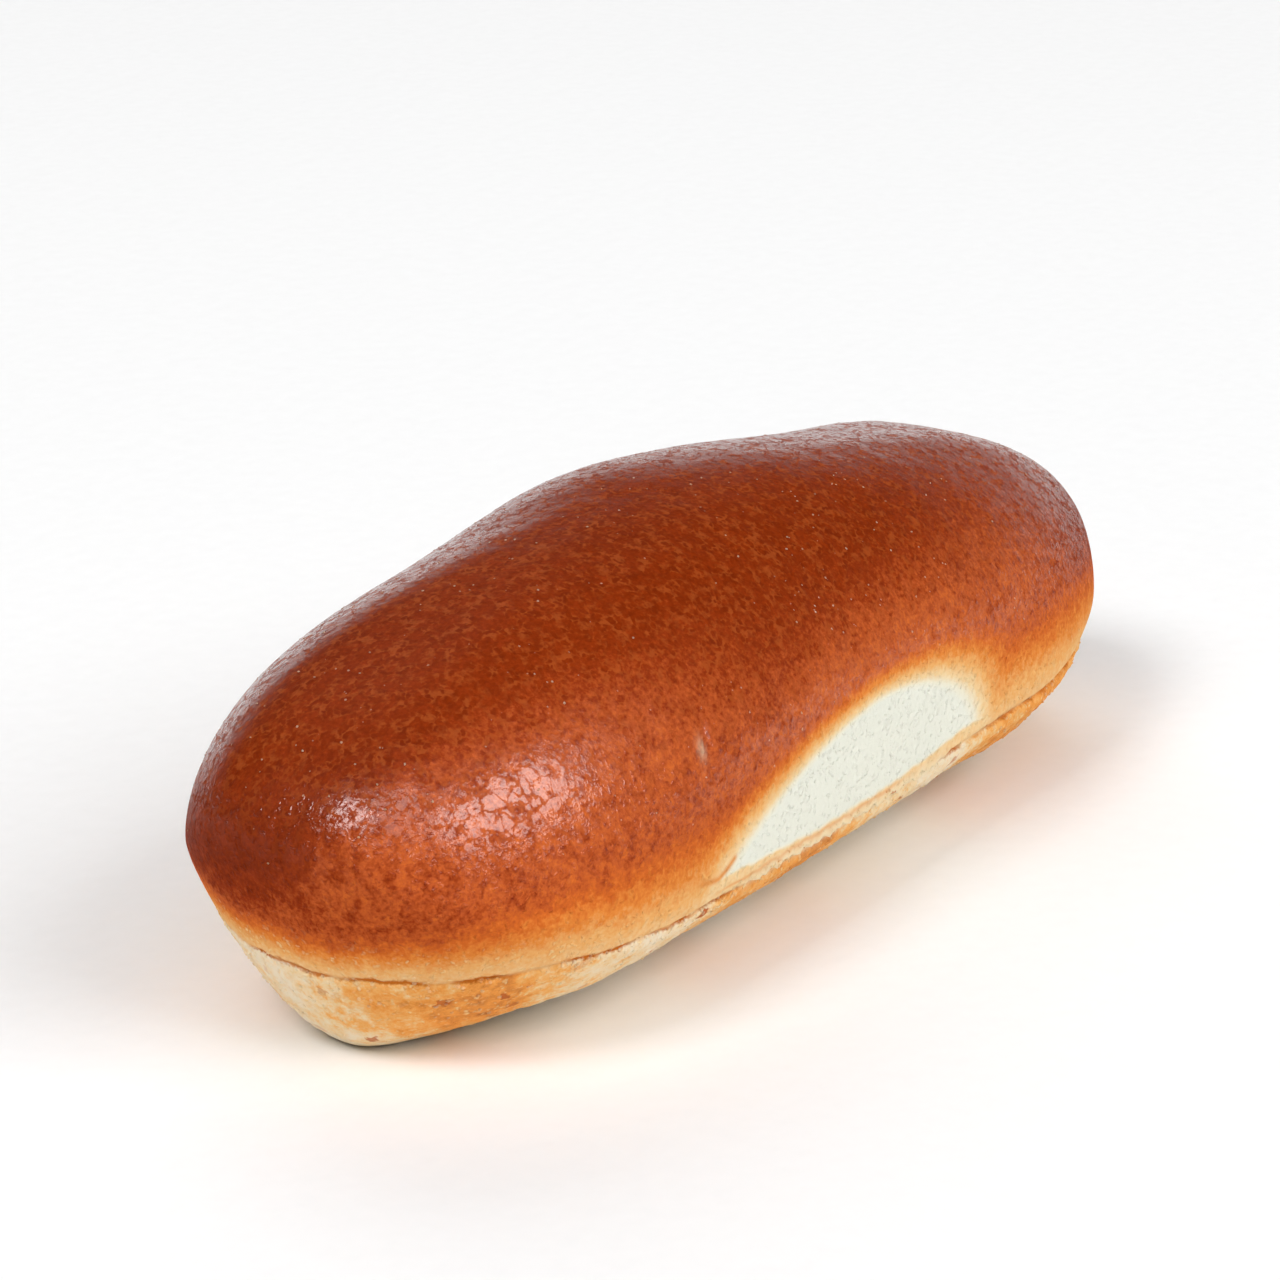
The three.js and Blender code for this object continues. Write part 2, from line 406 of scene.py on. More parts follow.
def scar_marks(x, y, z):
    """The scar's dent and the crumb beside it, each from 0 to 1."""
    upright = hump(z - SCAR[1], SCAR_HALF_LENGTH)
    aside = x - SCAR[0] - SCAR_LEAN * (z - SCAR[1])
    dent = hump(aside, SCAR_HALF_WIDTH) * upright
    beside = hump(aside + SCAR_CRUMB_ASIDE, SCAR_HALF_WIDTH)
    crumb = beside * hump(z - SCAR[1] + SCAR_CRUMB_DROP, SCAR_CRUMB_HALF_LENGTH)
    return np.where(y < 0, dent, 0.0), np.where(y < 0, crumb, 0.0)


def bake_masks(points):
    """How brown the crust baked, and where its patches and marks are."""
    x, y, z, above, out_x = points.T
    rise = above / lerp(BROWN_ABOVE_AT_SIDES, BROWN_ABOVE_AT_ENDS, out_x)
    shaded = smoothstep(*PRESSED_SIDE_BETWEEN, y)
    dark = [
        lerp(clear, side + tilt * x, shaded)
        for clear, side, tilt in zip(DARK_BETWEEN, DARK_BETWEEN_ON_PRESSED_SIDE, DARK_TILT)
    ]
    from_crease = BROWNING_AT_CREASE + BROWNING_UP_THE_SIDE * smoothstep(0.0, FULLY_BROWN_AT, rise)
    from_crease = from_crease + BROWNING_ON_TOP * smoothstep(*dark, z)
    away = from_the_patch(x, y, z)
    from_patch = BROWNING_IN_HALO * np.clip(away, 0, 1) ** HALO_CURVE
    from_patch = from_patch + BROWNING_PAST_HALO * smoothstep(*PAST_HALO_BETWEEN, away)
    base = 1 - smoothstep(-0.25, 0.1, above)
    toast = TOAST_MIDDLE + 0.08 * np.sin(0.21 * x + 1.1) + 0.06 * np.sin(0.34 * x - 0.2 * y)
    toast = toast - PALE_FOOT * smoothstep(5, 1.5, z)
    for (at_x, at_y, at_z), reach, amount in TOASTING.values():
        off = (x - at_x) ** 2 + (y - at_y) ** 2 + (z - at_z) ** 2
        toast = toast + amount * np.exp(-off / reach**2)
    widens = STRIP_WIDENS_LEFT * smoothstep(-14, -34, x) + STRIP_WIDENS_RIGHT * smoothstep(4, 20, x)
    strip = 1 - smoothstep(-0.4, 0.4, above - STRIP_HEIGHT - widens - 0.25 * ragged(0.6 * x))
    strip = np.where(y < 0, strip, 0)
    browning = np.where(away > 0, np.minimum(from_crease, from_patch), 0)
    browning = np.maximum(browning, STRIP_BROWNING * strip)
    folded = smoothstep(-36, -30, x) * (1 - smoothstep(2, 8, x)) * strip
    folded = 0.7 * folded * hump(above - STRIP_LINE_AT - 0.2 * ragged(0.3 * x + 1), 0.17)
    thin = THIN_ENDS_SHARE * smoothstep(0.55, 0.95, out_x) * (1 - smoothstep(*THIN_ENDS_BETWEEN, z))
    brushed = smoothstep(GLAZED_FROM, GLAZED_ABOVE, z)
    glaze = smoothstep(0.45, 0.8, browning) * brushed * (1 - base) * (1 - thin)
    off_patch = np.where(base > 0, 1, smoothstep(0.9, 1.8, away))
    dusty = np.maximum(base, 1 - smoothstep(1.0, 6.0, above)) * off_patch
    torn = torn_amount(x, y) * hump(above - 0.1, 0.8)
    return {
        "browning": browning,
        "glaze": glaze,
        "dusty": dusty,
        "base": base,
        "patch": np.where(above > -0.4, 1 - smoothstep(-0.2, 0.3, away), 0.0) * (1 - strip),
        "toast": toast,
        "above": above,
        "fold": np.maximum(hump(distance_to_fold(x, y, z), FOLD_HALF_WIDTH), folded),
        "crumb": np.maximum(torn, 0.45 * scar_marks(x, y, z)[1]),
        "crumbly": np.maximum(torn, 0.3 * base * smoothstep(3, 6, z) + 0.5 * hump(above, 0.8)),
    }


def roll_mesh():
    """The closed crust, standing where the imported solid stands, with its masks as attributes."""
    points, quads = roll_surface()
    masks = bake_masks(points)
    place = points[:, :3]
    low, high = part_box("roll")
    middle = (place.min(0) + place.max(0)) / 2
    where = np.array([(low.x + high.x) / 2, (low.y + high.y) / 2, low.z])
    shift = where / MM - np.array([middle[0], middle[1], place[:, 2].min()])
    mesh = bpy.data.meshes.new("crust")
    mesh.from_pydata(((place + shift) * MM).tolist(), [], quads.tolist())
    for name, values in masks.items():
        attribute = mesh.attributes.new(name, "FLOAT", "POINT")
        attribute.data.foreach_set("value", values.astype(np.float32))
    mesh.shade_smooth()
    return mesh, shift


def link(name, data):
    """A new object in the scene."""
    made = bpy.data.objects.new(name, data)
    bpy.context.scene.collection.objects.link(made)
    return made


def open_socket(sockets, name=None):
    """The first socket in use, of that name where one is given."""
    return next(socket for socket in sockets if socket.enabled and name in (None, socket.name))


def add(tree, kind, settings=None, inputs=None, stops=()):
    """Adds a node, with its properties, its inputs as values or links, and a ramp's stops."""
    node = tree.nodes.new(kind)
    for name, value in (settings or {}).items():
        setattr(node, name, value)
    for name, value in (inputs or {}).items():
        socket = node.inputs[name] if isinstance(name, int) else open_socket(node.inputs, name)
        if isinstance(value, bpy.types.Node):
            value = open_socket(value.outputs)
        if isinstance(value, bpy.types.NodeSocket):
            tree.links.new(value, socket)
        else:
            socket.default_value = value
    for number, (place, colour) in enumerate(stops):
        band = node.color_ramp.elements
        stop = band.new(place) if number > 1 else band[number]
        stop.position = place
        stop.color = linear(colour)
    return node


def per_mm(size):
    """Texture scale, on coordinates in metres, whose features are this many millimetres wide."""
    return 1 / (size * MM)


# Relief of the crust, in millimetres: how wide and how high each kind is
RELIEF = {
    "Dimple width": 11.0,
    "Dimple height": 0.17,
    "Wrinkle width": 2.4,
    "Wrinkle height": 0.08,
    "Base pock width": 2.0,
    "Base pock depth": 0.40,
    "Patch tear width": 3.2,
    "Patch tear height": 0.17,
}


def relief_tree():
    """Geometry nodes: dimples and wrinkles on the crown, pocks on the base, tears on the patch."""
    tree = bpy.data.node_groups.new("crust relief", "GeometryNodeTree")
    tree.interface.new_socket("Crust", in_out="INPUT", socket_type="NodeSocketGeometry")
    for name, value in RELIEF.items():
        socket = tree.interface.new_socket(name, in_out="INPUT", socket_type="NodeSocketFloat")
        socket.default_value = value
    tree.interface.new_socket("Seed", in_out="INPUT", socket_type="NodeSocketFloat")
    tree.interface.new_socket("Crust", in_out="OUTPUT", socket_type="NodeSocketGeometry")
    given = add(tree, "NodeGroupInput").outputs
    place = add(tree, "GeometryNodeInputPosition")
    in_mm = add(tree, "ShaderNodeVectorMath", {"operation": "SCALE"}, {0: place, "Scale": 1 / MM})
    above_floor = add(tree, "ShaderNodeSeparateXYZ", {}, {0: in_mm}).outputs[2]
    off_floor = add(tree, "ShaderNodeMapRange", {}, {0: above_floor, 1: 0.0, 2: 2.0})
    height = add(tree, "ShaderNodeValue")
    # Width, height, the attribute that masks it and its range, detail, stretch along X, Y and Z
    kinds = (
        ("Dimple width", "Dimple height", "base", 1.6, 0.0, 1.0, (1, 1, 1)),
        ("Wrinkle width", "Wrinkle height", "glaze", 0.0, 1.0, 2.0, (1, 1, 1)),
        ("Base pock width", "Base pock depth", "base", 0.0, 1.0, 3.0, (1, 1, 1.3)),
        ("Patch tear width", "Patch tear height", "patch", 0.0, 1.0, 4.0, (0.45, 1, 1)),
    )
    for width, rise, attribute, none_at, full_at, detail, stretch in kinds:
        settings = {"data_type": "FLOAT"}
        mask = add(tree, "GeometryNodeInputNamedAttribute", settings, {"Name": attribute})
        share = add(tree, "ShaderNodeMapRange", {}, {0: mask, 1: none_at, 2: full_at})
        shaped = add(tree, "ShaderNodeVectorMath", {"operation": "MULTIPLY"}, {0: in_mm, 1: stretch})
        scale = add(tree, "ShaderNodeMath", {"operation": "DIVIDE"}, {0: 1.0, 1: given[width]})
        settings = {"noise_dimensions": "4D"}
        inputs = {"Vector": shaped, "W": given["Seed"], "Scale": scale, "Detail": detail}
        wave = add(tree, "ShaderNodeTexNoise", settings, inputs)
        centred = add(tree, "ShaderNodeMapRange", {"clamp": False}, {0: wave, 3: -1.0, 4: 1.0})
        tall = add(tree, "ShaderNodeMath", {"operation": "MULTIPLY"}, {0: centred, 1: given[rise]})
        inputs = {0: tall, 1: share, 2: height}
        height = add(tree, "ShaderNodeMath", {"operation": "MULTIPLY_ADD"}, inputs)
    height = add(tree, "ShaderNodeMath", {"operation": "MULTIPLY"}, {0: height, 1: off_floor})
    in_metres = add(tree, "ShaderNodeMath", {"operation": "MULTIPLY"}, {0: height, 1: MM})
    normal = add(tree, "GeometryNodeInputNormal")
    move = add(tree, "ShaderNodeVectorMath", {"operation": "SCALE"}, {0: normal, "Scale": in_metres})
    moved = add(tree, "GeometryNodeSetPosition", {}, {"Geometry": given["Crust"], "Offset": move})
    real = add(tree, "GeometryNodeRealizeInstances", {}, {"Geometry": moved})
    dressed = add(tree, "GeometryNodeSetMaterial", {}, {"Geometry": real, "Material": crust_finish})
    add(tree, "NodeGroupOutput", {}, {"Crust": dressed})
    return tree


# Small lumps sown over the crust: radius in millimetres, flatness and paleness as shares
LUMPS = {
    "blisters": {
        "Where": "glaze",
        "Per square mm": 0.09,
        "Smallest": 0.04,
        "Largest": 0.17,
        "Flatness": 0.5,
        "Paleness": 0.35,
        "Seed": 3,
    },
    "crumbs": {
        "Where": "crumbly",
        "Per square mm": 0.9,
        "Smallest": 0.09,
        "Largest": 0.30,
        "Flatness": 0.6,
        "Paleness": 0.35,
        "Seed": 11,
    },
}

# Width of the clumps that they lie in, and what bends each lump out of round
CLUMP_WIDTH = 9.0
WOBBLE_WIDTH = 0.5
WOBBLE_REACH = 0.25


def scatter_tree(name):
    """Geometry nodes: small lumps of random size, sown over the crust where an attribute says."""
    tree = bpy.data.node_groups.new(name, "GeometryNodeTree")
    tree.interface.new_socket("Crust", in_out="INPUT", socket_type="NodeSocketGeometry")
    tree.interface.new_socket("Where", in_out="INPUT", socket_type="NodeSocketString")
    for value in ("Per square mm", "Smallest", "Largest", "Flatness", "Paleness"):
        tree.interface.new_socket(value, in_out="INPUT", socket_type="NodeSocketFloat")
    tree.interface.new_socket("Seed", in_out="INPUT", socket_type="NodeSocketInt")
    tree.interface.new_socket("Lumps", in_out="OUTPUT", socket_type="NodeSocketGeometry")
    given = add(tree, "NodeGroupInput").outputs
    settings = {"data_type": "FLOAT"}
    mask = add(tree, "GeometryNodeInputNamedAttribute", settings, {"Name": given["Where"]})
    inputs = {0: mask, 1: given["Per square mm"]}
    wanted = add(tree, "ShaderNodeMath", {"operation": "MULTIPLY"}, inputs)
    drift = add(tree, "ShaderNodeTexNoise", {}, {"Scale": per_mm(CLUMP_WIDTH), "Detail": 1.0})
    drift = add(tree, "ShaderNodeMapRange", {}, {0: drift, 1: 0.4, 2: 0.65, 3: 0.15, 4: 2.6})
    clumped = add(tree, "ShaderNodeMath", {"operation": "MULTIPLY"}, {0: wanted, 1: drift})
    density = add(tree, "ShaderNodeMath", {"operation": "DIVIDE"}, {0: clumped, 1: MM * MM})
    inputs = {"Mesh": given["Crust"], "Density": density, "Seed": given["Seed"]}
    sown = add(tree, "GeometryNodeDistributePointsOnFaces", {}, inputs)
    inputs = {"Min": given["Smallest"], "Max": given["Largest"], "Seed": given["Seed"]}
    size = add(tree, "FunctionNodeRandomValue", {"data_type": "FLOAT"}, inputs)
    in_metres = add(tree, "ShaderNodeMath", {"operation": "MULTIPLY"}, {0: size, 1: MM})
    thick = add(tree, "ShaderNodeMath", {"operation": "MULTIPLY"}, {0: in_metres, 1: given["Flatness"]})
    inputs = {"X": in_metres, "Y": in_metres, "Z": thick}
    shape = add(tree, "ShaderNodeCombineXYZ", {}, inputs)
    ball = add(tree, "GeometryNodeMeshIcoSphere", {}, {"Radius": 1.0, "Subdivisions": 1})
    inputs = {"Points": sown, "Instance": ball, "Rotation": sown.outputs["Rotation"], "Scale": shape}
    lumps = add(tree, "GeometryNodeInstanceOnPoints", {}, inputs)
    inputs = {"Min": 0.0, "Max": given["Paleness"], "Seed": given["Seed"]}
    pale = add(tree, "FunctionNodeRandomValue", {"data_type": "FLOAT"}, inputs)
    inputs = {"Geometry": lumps, "Name": "crumb", "Value": pale}
    settings = {"data_type": "FLOAT", "domain": "INSTANCE"}
    toned = add(tree, "GeometryNodeStoreNamedAttribute", settings, inputs)
    real = add(tree, "GeometryNodeRealizeInstances", {}, {"Geometry": toned})
    place = add(tree, "GeometryNodeInputPosition")
    inputs = {"Vector": place, "Scale": per_mm(WOBBLE_WIDTH), "Detail": 1.0}
    lumpy = add(tree, "ShaderNodeTexNoise", {}, inputs).outputs["Color"]
    inputs = {0: lumpy, 1: (0.5, 0.5, 0.5)}
    centred = add(tree, "ShaderNodeVectorMath", {"operation": "SUBTRACT"}, inputs)
    inputs = {0: centred, "Scale": WOBBLE_REACH * MM}
    wobble = add(tree, "ShaderNodeVectorMath", {"operation": "SCALE"}, inputs)
    uneven = add(tree, "GeometryNodeSetPosition", {}, {"Geometry": real, "Offset": wobble})
    smooth = add(tree, "GeometryNodeSetShadeSmooth", {}, {"Geometry": uneven})
    dressed = add(tree, "GeometryNodeSetMaterial", {}, {"Geometry": smooth, "Material": crust_finish})
    add(tree, "NodeGroupOutput", {}, {"Lumps": dressed})
    return tree


def grown(name, mesh, tree, settings=None):
    """A new object with what the tree makes on a mesh, as a plain mesh with no modifier."""
    holder = link(name + " source", mesh)
    modifier = holder.modifiers.new("growth", "NODES")
    modifier.node_group = tree
    for item in tree.interface.items_tree:
        if item.in_out == "INPUT" and item.name in (settings or {}):
            modifier[item.identifier] = settings[item.name]
    graph = bpy.context.evaluated_depsgraph_get()
    made = bpy.data.meshes.new_from_object(holder.evaluated_get(graph))
    made.name = name
    bpy.data.objects.remove(holder)
    return link(name, made)


def linear(hex_colour):
    """sRGB hex to the linear colour that the shader wants."""
    parts = [int(hex_colour[i : i + 2], 16) / 255 for i in (1, 3, 5)]
    parts = [c / 12.92 if c <= 0.04045 else ((c + 0.055) / 1.055) ** 2.4 for c in parts]
    return (*parts, 1.0)


def new_material(name):
    """An empty material with its shader linked to its output."""
    made = bpy.data.materials.new(name)
    made.use_nodes = True
    tree = made.node_tree
    tree.nodes.clear()
    shader = add(tree, "ShaderNodeBsdfPrincipled")
    add(tree, "ShaderNodeOutputMaterial", {}, {"Surface": shader})
    return made, tree, shader


# From the raw white of the pressed patch through cream, gold and orange to the egg-washed brown
BAKING = (
    (0.00, "#EBECDE"),
    (0.08, "#EFE9D2"),
    (0.18, "#F1D3A0"),
    (0.32, "#EDB06A"),
    (0.46, "#E4893B"),
    (0.60, "#D26825"),
    (0.74, "#B95322"),
    (0.86, "#913308"),
    (0.94, "#802902"),
    (1.00, "#742301"),
)

# The base's skin, from cream to toasted
TOASTED = (
    (0.20, "#F3E2C6"),
    (0.42, "#F2D3A2"),
    (0.58, "#F2B469"),
    (0.74, "#EE9F4C"),
    (0.92, "#D4843F"),
    (1.00, "#B86C34"),
)

# Marks laid over the bake, from the glaze's threads to the torn crumb
THREAD_COLOUR = "#C0602A"
SPOT_COLOUR = "#BF6430"
FLOUR_COLOUR = "#F6D59A"
# Painted shade: the orange-brown line in the crease's groove
CREASE_SHADE_COLOUR = "#C26A20"
FOLD_COLOUR = "#E2924A"
CRUMB_COLOUR = "#F0DFBC"

# Noise patterns of the crust: width of the features in millimetres, detail and roughness
CRUST_NOISES = {
    "tone": (15.0, 2.0, 0.5),
    "blotch": (1.7, 3.0, 0.7),
    "grain": (0.5, 2.0, 0.6),
    "warp": (1.5, 2.0, 0.6),
    "flour": (2.6, 4.0, 0.75),
    "gaps": (4.5, 1.0, 0.5),
}

# Cell patterns, which the warp noise bends by its reach: width of the cells in millimetres
WARP_REACH = 2.2
SKIN_CELL_WIDTH = 0.85
SPOT_SPACING = 4.2
GLAZE_PLATE_WIDTH = 1.5

# How far the tone, blotch and grain noises shift the browning, then the cells and the spots
NOISE_SHIFTS = (0.12, 0.40, 0.36)
CELL_SHIFT = 0.09
SPOT_SHIFT = 0.06

# Height of the fine relief in millimetres: tone, blotch and grain of the glaze, flour elsewhere
LEATHER_RELIEF = (0.0, 0.048, 0.018)
GRAIN_RELIEF = 0.12
GRANULE_RELIEF = 0.13


def crust_patterns(tree):
    """Patterns that the crust's colour, gloss and relief share, by name."""
    where = add(tree, "ShaderNodeTexCoord").outputs["Object"]
    found = {}
    for name, (width, detail, roughness) in CRUST_NOISES.items():
        inputs = {"Vector": where, "Scale": per_mm(width), "Detail": detail, "Roughness": roughness}
        found[name] = add(tree, "ShaderNodeTexNoise", {}, inputs)
    inputs = {"X": found["tone"], "Y": found["blotch"], "Z": found["grain"]}
    found["three"] = add(tree, "ShaderNodeCombineXYZ", {}, inputs)
    inputs = {0: found["three"], 1: (0.5, 0.5, 0.5)}
    found["centred three"] = add(tree, "ShaderNodeVectorMath", {"operation": "SUBTRACT"}, inputs)

    # A net of bent cells under a millimetre wide, each with its own tone and a floury middle
    inputs = {0: found["warp"].outputs["Color"], 1: (WARP_REACH * MM,) * 3, 2: where}
    bent = add(tree, "ShaderNodeVectorMath", {"operation": "MULTIPLY_ADD"}, inputs)
    inputs = {"Vector": bent, "Scale": per_mm(SKIN_CELL_WIDTH)}
    net = add(tree, "ShaderNodeTexVoronoi", {"feature": "F1"}, inputs)
    found["net"] = net
    found["cell tone"] = add(tree, "ShaderNodeSeparateXYZ", {}, {0: net.outputs["Color"]})
    found["granule"] = add(tree, "ShaderNodeMapRange", {}, {0: net, 1: 0.08, 2: 0.42, 3: 1.0, 4: 0.0})

    # Scattered ragged spots, some fainter than others
    inputs = {"Vector": bent, "Scale": per_mm(SPOT_SPACING)}
    islands = add(tree, "ShaderNodeTexVoronoi", {"feature": "F1"}, inputs)
    inputs = {0: found["grain"], 1: 0.16, 2: islands}
    ragged_edge = add(tree, "ShaderNodeMath", {"operation": "MULTIPLY_ADD"}, inputs)
    inputs = {0: ragged_edge, 1: 0.25, 2: 0.30, 3: 1.0, 4: 0.0}
    inside = add(tree, "ShaderNodeMapRange", {}, inputs)
    chance = add(tree, "ShaderNodeSeparateXYZ", {}, {0: islands.outputs["Color"]})
    chance = add(tree, "ShaderNodeMapRange", {}, {0: chance, 1: 0.35, 2: 0.8})
    found["spots"] = add(tree, "ShaderNodeMath", {"operation": "MULTIPLY"}, {0: inside, 1: chance})

    # Plates of glaze, from the distance to their edges
    inputs = {"Vector": bent, "Scale": per_mm(GLAZE_PLATE_WIDTH)}
    edges = add(tree, "ShaderNodeTexVoronoi", {"feature": "DISTANCE_TO_EDGE"}, inputs)
    inputs = {0: found["centred three"], 1: (0.0, -0.6, 0.3)}
    uneven = add(tree, "ShaderNodeVectorMath", {"operation": "DOT_PRODUCT"}, inputs)
    inside = add(tree, "ShaderNodeMath", {"operation": "ADD"}, {0: edges, 1: uneven})
    found["plates"] = add(tree, "ShaderNodeMapRange", {}, {0: inside, 1: 0.02, 2: 0.13})
    return found


def crown_colour(tree, mask, pattern):
    """The bake, with its uneven edges and the pale broken threads between the glaze's cells."""
    inputs = {0: pattern["centred three"], 1: NOISE_SHIFTS}
    shift = add(tree, "ShaderNodeVectorMath", {"operation": "DOT_PRODUCT"}, inputs)
    inputs = {0: pattern["cell tone"], 1: 0.5}
    centred_tone = add(tree, "ShaderNodeMath", {"operation": "SUBTRACT"}, inputs)
    for part, amount in ((centred_tone, CELL_SHIFT), (pattern["spots"], SPOT_SHIFT)):
        inputs = {0: part, 1: amount, 2: shift}
        shift = add(tree, "ShaderNodeMath", {"operation": "MULTIPLY_ADD"}, inputs)
    rising = add(tree, "ShaderNodeMapRange", {}, {0: mask["browning"], 1: 0.02, 2: 0.75})
    inputs = {0: mask["browning"], 1: 0.72, 2: 0.94, 3: 1.0, 4: 0.6}
    calmer = add(tree, "ShaderNodeMapRange", {}, inputs)
    share = add(tree, "ShaderNodeMath", {"operation": "MULTIPLY"}, {0: rising, 1: calmer})
    inputs = {0: shift, 1: share, 2: mask["browning"]}
    browned = add(tree, "ShaderNodeMath", {"operation": "MULTIPLY_ADD"}, inputs)
    colour = add(tree, "ShaderNodeValToRGB", {}, {"Fac": browned}, BAKING)

    threads = add(tree, "ShaderNodeMapRange", {}, {0: pattern["net"], 1: 0.40, 2: 0.62})
    inputs = {0: pattern["blotch"], 1: 0.42, 2: 0.60, 3: 0.0, 4: 0.38}
    broken = add(tree, "ShaderNodeMapRange", {}, inputs)
    share = add(tree, "ShaderNodeMath", {"operation": "MULTIPLY"}, {0: threads, 1: broken})
    share = add(tree, "ShaderNodeMath", {"operation": "MULTIPLY"}, {0: share, 1: mask["glaze"]})
    inputs = {"Factor": share, "A": colour, "B": linear(THREAD_COLOUR)}
    return add(tree, "ShaderNodeMix", {"data_type": "RGBA"}, inputs)


def base_colour(tree, mask, pattern):
    """Skin baked against the tin: cream and gold patches with toasted spots."""
    inputs = {0: pattern["flour"], 3: -0.6, 4: 0.6}
    uneven = add(tree, "ShaderNodeMapRange", {"clamp": False}, inputs)
    golden = add(tree, "ShaderNodeMath", {"operation": "ADD"}, {0: mask["toast"], 1: uneven})
    skin = add(tree, "ShaderNodeValToRGB", {}, {"Fac": golden}, TOASTED)
    share = add(tree, "ShaderNodeMath", {"operation": "MULTIPLY"}, {0: pattern["spots"], 1: 0.95})
    inputs = {"Factor": share, "A": skin, "B": linear(SPOT_COLOUR)}
    return add(tree, "ShaderNodeMix", {"data_type": "RGBA"}, inputs)


def flour_share(tree, mask, pattern):
    """Where floury granules lie, on the base and just above the crease."""
    pale = add(tree, "ShaderNodeMapRange", {}, {0: pattern["cell tone"], 1: 0.2, 2: 0.9})
    inputs = {0: pattern["granule"], 1: mask["dusty"]}
    share = add(tree, "ShaderNodeMath", {"operation": "MULTIPLY"}, inputs)
    return add(tree, "ShaderNodeMath", {"operation": "MULTIPLY"}, {0: share, 1: pale})


def crease_shade_share(tree, mask, pattern):
    """Painted shade along the crease's groove: a thin, jagged and broken orange-brown line."""
    inputs = {0: pattern["gaps"], 1: 0.40, 2: 0.60, 3: 0.15, 4: 1.0}
    broken = add(tree, "ShaderNodeMapRange", {}, inputs)
    inputs = {0: pattern["flour"], 1: 0.5}
    centred = add(tree, "ShaderNodeMath", {"operation": "SUBTRACT"}, inputs)
    inputs = {0: centred, 1: 1.8, 2: mask["above"]}
    jagged = add(tree, "ShaderNodeMath", {"operation": "MULTIPLY_ADD"}, inputs)
    off_line = add(tree, "ShaderNodeMath", {"operation": "ABSOLUTE"}, {0: jagged})
    line = add(tree, "ShaderNodeMapRange", {}, {0: off_line, 1: 0.12, 2: 0.42, 3: 1.0, 4: 0.0})
    return add(tree, "ShaderNodeMath", {"operation": "MULTIPLY"}, {0: line, 1: broken})


def fine_relief(tree, mask, pattern):
    """The glaze's leather, and the floury grain of the rest."""
    inputs = {0: pattern["three"], 1: LEATHER_RELIEF}
    leather = add(tree, "ShaderNodeVectorMath", {"operation": "DOT_PRODUCT"}, inputs)
    inputs = {0: pattern["grain"], 1: GRAIN_RELIEF}
    floury = add(tree, "ShaderNodeMath", {"operation": "MULTIPLY"}, inputs)
    inputs = {0: pattern["granule"], 1: GRANULE_RELIEF, 2: floury}
    floury = add(tree, "ShaderNodeMath", {"operation": "MULTIPLY_ADD"}, inputs)
    inputs = {"Factor": mask["glaze"], "A": floury, "B": leather}
    height = add(tree, "ShaderNodeMix", {"data_type": "FLOAT"}, inputs)
    inputs = {"Height": height, "Distance": MM, "Strength": 1.0}
    return add(tree, "ShaderNodeBump", {}, inputs)


def crust_material():
    """Egg-washed brioche crust: a thin baked glaze gives the crown a broken, leathery gloss.
    It fades to gold and cream at the crease, to matt white crumb on the pressed patch,
    and to a rough, toasted tin-baked skin on the base."""
    made, tree, shader = new_material("egg-washed brioche crust")
    mask = {}
    for name in ("browning", "glaze", "dusty", "base", "toast", "above", "fold", "crumb"):
        attribute = add(tree, "ShaderNodeAttribute", {"attribute_name": name})
        mask[name] = attribute.outputs["Fac"]
    pattern = crust_patterns(tree)

    # What lies over the crown's colour, in turn: its share and its colour
    layers = (
        (mask["base"], base_colour(tree, mask, pattern)),
        (flour_share(tree, mask, pattern), linear(FLOUR_COLOUR)),
        # painted shade along the crease's groove
        (crease_shade_share(tree, mask, pattern), linear(CREASE_SHADE_COLOUR)),
        (mask["fold"], linear(FOLD_COLOUR)),
        (mask["crumb"], linear(CRUMB_COLOUR)),
    )
    colour = crown_colour(tree, mask, pattern)
    for share, over in layers:
        inputs = {"Factor": share, "A": colour, "B": over}
        colour = add(tree, "ShaderNodeMix", {"data_type": "RGBA"}, inputs)

    # A coat of egg glaze in plates over a dull skin, with bare cracks between them
    glossy = add(tree, "ShaderNodeMapRange", {}, {0: pattern["plates"], 3: 0.02, 4: 1.0})
    coat = add(tree, "ShaderNodeMath", {"operation": "MULTIPLY"}, {0: glossy, 1: mask["glaze"]})
    dull = add(tree, "ShaderNodeMapRange", {}, {0: mask["glaze"], 3: 0.85, 4: 0.42})
    shader.inputs["Coat Roughness"].default_value = 0.19
    shader.inputs["Specular IOR Level"].default_value = 0.06
    bump = fine_relief(tree, mask, pattern)
    made_of = {
        "Base Color": colour,
        "Coat Weight": coat,
        "Roughness": dull,
        "Normal": bump,
        "Coat Normal": bump,
    }
    for name, source in made_of.items():
        tree.links.new(open_socket(source.outputs), shader.inputs[name])
    return made


def floor_material():
    """Matt white card: a plain pale ground with a soft shadow."""
    made, tree, shader = new_material("matt white card")
    where = add(tree, "ShaderNodeTexCoord").outputs["Object"]
    fibre = add(tree, "ShaderNodeTexNoise", {}, {"Vector": where, "Scale": per_mm(3), "Detail": 3.0})
    stops = ((0.3, "#F8F8F8"), (0.7, "#FBFBFB"))
    colour = add(tree, "ShaderNodeValToRGB", {}, {"Fac": fibre}, stops)
    tree.links.new(open_socket(colour.outputs), shader.inputs["Base Color"])
    shader.inputs["Roughness"].default_value = 0.9
    return made


crust_finish = crust_material()


def make_roll():
    """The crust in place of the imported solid, with its blisters and crumbs; gives its shift."""
    mesh, shift = roll_mesh()
    roll = grown("crust", mesh, relief_tree(), {"Seed": 7.0})
    roll.data.shade_smooth()
    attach(roll, "root")
    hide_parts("roll")
    for name, settings in LUMPS.items():
        piece = grown(name, roll.data.copy(), scatter_tree(name), settings)
        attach(piece, "root")
    return shift


